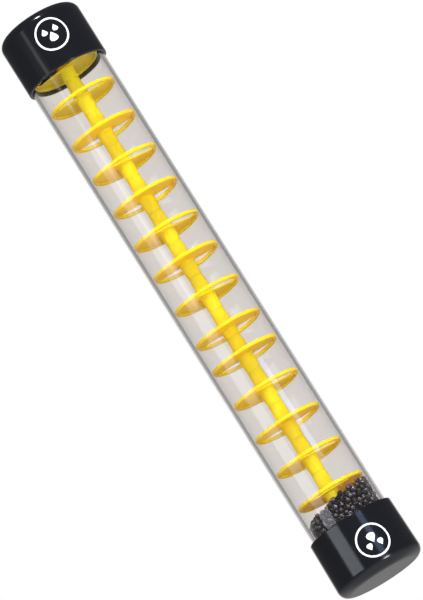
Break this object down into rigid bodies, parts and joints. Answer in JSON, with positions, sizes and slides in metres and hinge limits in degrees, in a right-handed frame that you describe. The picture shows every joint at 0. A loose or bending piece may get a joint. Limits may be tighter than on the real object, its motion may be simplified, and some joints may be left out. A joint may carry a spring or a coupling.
{
  "type": "rainstick",
  "caption": "Clear tube rainstick with black slip-on end caps, a yellow column of windowed baffles and a heap of dark steel beads that trickle through it when it is turned over.",
  "frame": {"origin": "centre of the bottom cap's flat end", "axes": "+Z along the tube towards the top cap, -Y the front, +X to the right"},
  "size_m": [0.057, 0.057, 0.4028],
  "materials": {
    "clear_acrylic": "clear, polished",
    "black_plastic": "glossy moulded black",
    "yellow_plastic": "semi-gloss moulded yellow",
    "dark_steel": "polished dark steel balls"
  },
  "bodies": {
    "stick": {"baffle_01": "yellow_plastic", "baffle_02": "yellow_plastic", "baffle_03": "yellow_plastic", "baffle_04": "yellow_plastic", "baffle_05": "yellow_plastic", "baffle_06": "yellow_plastic", "baffle_07": "yellow_plastic", "baffle_08": "yellow_plastic", "baffle_09": "yellow_plastic", "baffle_10": "yellow_plastic", "baffle_11": "yellow_plastic", "baffle_12": "yellow_plastic", "baffle_13": "yellow_plastic", "baffle_14": "yellow_plastic", "baffle_15": "yellow_plastic", "bottom_cap": "black_plastic", "bottom_plug": "yellow_plastic", "top_cap": "black_plastic", "top_plug": "yellow_plastic", "tube": "clear_acrylic"},
    "bead_heap": {"beads_level_1": "dark_steel", "beads_level_2": "dark_steel", "beads_level_3": "dark_steel", "beads_level_4": "dark_steel", "beads_level_5": "dark_steel"},
    "flying_bead_1": {"loose_bead_1": "dark_steel"},
    "flying_bead_2": {"loose_bead_2": "dark_steel"},
    "flying_bead_3": {"loose_bead_3": "dark_steel"},
    "flying_bead_4": {"loose_bead_4": "dark_steel"},
    "flying_bead_5": {"loose_bead_5": "dark_steel"},
    "flying_bead_6": {"loose_bead_6": "dark_steel"}
  },
  "joints": [
    {"name": "heap_lift", "type": "slide", "parent": "stick", "child": "bead_heap", "axis": [0, 0, 1], "range_m": [0, 0.0005]},
    {"name": "flying_bead_1_fall", "type": "slide", "parent": "bead_heap", "child": "flying_bead_1", "axis": [0, 0, 1], "range_m": [0, 0.0524]},
    {"name": "flying_bead_2_fall", "type": "slide", "parent": "bead_heap", "child": "flying_bead_2", "axis": [0, 0, 1], "range_m": [0, 0.0533]},
    {"name": "flying_bead_3_fall", "type": "slide", "parent": "bead_heap", "child": "flying_bead_3", "axis": [0, 0, 1], "range_m": [0, 0.0534]},
    {"name": "flying_bead_4_fall", "type": "slide", "parent": "bead_heap", "child": "flying_bead_4", "axis": [0, 0, 1], "range_m": [0, 0.0536]},
    {"name": "flying_bead_5_fall", "type": "slide", "parent": "bead_heap", "child": "flying_bead_5", "axis": [0, 0, 1], "range_m": [0, 0.0548]},
    {"name": "flying_bead_6_fall", "type": "slide", "parent": "bead_heap", "child": "flying_bead_6", "axis": [0, 0, 1], "range_m": [0, 0.0558]}
  ]
}
